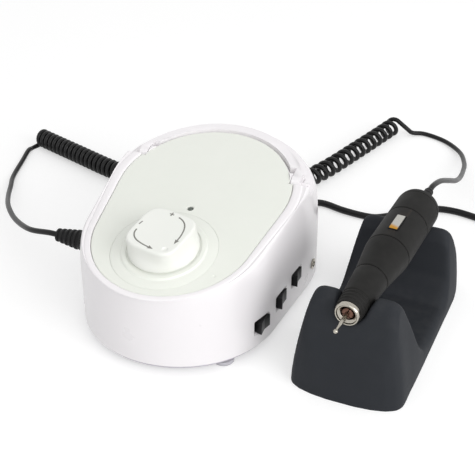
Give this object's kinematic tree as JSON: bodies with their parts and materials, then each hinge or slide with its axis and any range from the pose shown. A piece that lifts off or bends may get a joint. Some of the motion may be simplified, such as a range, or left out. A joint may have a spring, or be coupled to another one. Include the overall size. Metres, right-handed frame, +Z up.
{
  "type": "electric nail drill",
  "caption": "Electric nail drill with a sloped control box, speed knob, rear carry handle, corded handpiece resting in a saddle cradle, curly cord and coiled mains lead.",
  "frame": {"origin": "on the table, at the middle of the plan box of the control box and cradle", "axes": "+X from the control box to the cradle, +Y to the rear of the control box, +Z up"},
  "size_m": [0.5312, 0.3689, 0.0894],
  "materials": {
    "gloss_white": "gloss white moulded plastic",
    "pearl_panel": "pearl white satin panel",
    "soft_black": "matt soft-touch black",
    "cradle_slate": "matt slate grey, fine grain",
    "cord_black": "black cord sheath, semi-gloss",
    "switch_black": "black switch plastic",
    "foot_rubber": "grey rubber",
    "bright_steel": "polished steel",
    "dark_steel": "dull steel",
    "copper_winding": "enamelled copper",
    "board_green": "green board laminate",
    "silver_plate": "silver plate",
    "grey_plastic": "dark grey plastic",
    "lens_clear": "status lens, unlit"
  },
  "bodies": {
    "console": {"bottom_tray": "gloss_white", "upper_housing": "gloss_white", "top_panel": "pearl_panel", "dial_plate": "pearl_panel", "potentiometer": "grey_plastic", "status_lens": "lens_clear", "switch_body_1": "switch_black", "switch_body_2": "switch_black", "switch_body_3": "switch_black", "pedal_jack": "bright_steel", "plug_socket": "grey_plastic", "circuit_board": "board_green", "heat_sink": "dark_steel", "capacitor": "grey_plastic", "transformer_core": "dark_steel", "transformer_winding": "copper_winding", "handle_pin_left": "bright_steel", "handle_pin_right": "bright_steel", "cradle": "cradle_slate", "console_plug": "cord_black", "plug_lead": "cord_black", "curly_cord": "cord_black", "grip_lead": "cord_black", "mains_relief": "cord_black", "mains_lead": "cord_black", "mains_coil": "cord_black", "coil_tie": "soft_black", "mains_plug": "cord_black", "foot_1": "foot_rubber", "tray_screw_1": "dark_steel", "foot_2": "foot_rubber", "tray_screw_2": "dark_steel", "foot_3": "foot_rubber", "tray_screw_3": "dark_steel", "foot_4": "foot_rubber", "tray_screw_4": "dark_steel"},
    "speed_knob": {"knob": "gloss_white", "pot_shaft": "bright_steel"},
    "rocker_body_1": {"rocker_1": "switch_black"},
    "rocker_body_2": {"rocker_2": "switch_black"},
    "rocker_body_3": {"rocker_3": "switch_black"},
    "handle": {"carry_handle": "gloss_white"},
    "handpiece": {"taper_sleeve": "soft_black", "nose_tube": "bright_steel", "front_bearing": "bright_steel", "motor_barrel": "soft_black", "label_plate": "silver_plate", "stator_magnet": "dark_steel", "carbon_brush_left": "grey_plastic", "carbon_brush_right": "grey_plastic", "tail_cap": "soft_black", "rear_bearing": "bright_steel", "grip_relief": "cord_black"},
    "spindle_group": {"collet": "dark_steel", "spindle": "bright_steel", "bur": "bright_steel", "rotor": "copper_winding"},
    "twist_grip": {"nose_ring": "bright_steel", "twist_sleeve": "soft_black"}
  },
  "joints": [
    {"name": "knob_turn", "type": "hinge", "parent": "console", "child": "speed_knob", "pos_m": [-0.04502, -0.06136, 0.06233], "axis": [0, -0.2149, 0.9766], "range_deg": [-140, 140]},
    {"name": "rocker_1_rock", "type": "hinge", "parent": "console", "child": "rocker_body_1", "pos_m": [0.01229, -0.05356, 0.0195], "axis": [0, 0, 1], "range_deg": [-22, 0]},
    {"name": "rocker_2_rock", "type": "hinge", "parent": "console", "child": "rocker_body_2", "pos_m": [0.01505, -0.03057, 0.023], "axis": [0, 0, 1], "range_deg": [-22, 0]},
    {"name": "rocker_3_rock", "type": "hinge", "parent": "console", "child": "rocker_body_3", "pos_m": [0.01651, -0.00777, 0.0254], "axis": [0, 0, 1], "range_deg": [-22, 0]},
    {"name": "handle_swing", "type": "hinge", "parent": "console", "child": "handle", "pos_m": [-0.04502, 0.02114, 0.07448], "axis": [1, 0, 0], "range_deg": [0, 90]},
    {"name": "handpiece_lift", "type": "slide", "parent": "console", "child": "handpiece", "axis": [0, 0, 1], "range_m": [0, 0.03], "deforming": ["grip_lead"]},
    {"name": "spindle_spin", "type": "hinge", "parent": "handpiece", "child": "spindle_group", "pos_m": [0.07198, -0.07676, 0.058], "axis": [0.0806, 0.9956, 0.0476], "continuous": true},
    {"name": "grip_twist", "type": "hinge", "parent": "handpiece", "child": "twist_grip", "pos_m": [0.07198, -0.07676, 0.058], "axis": [0.0806, 0.9956, 0.0476], "range_deg": [0, 60]}
  ]
}
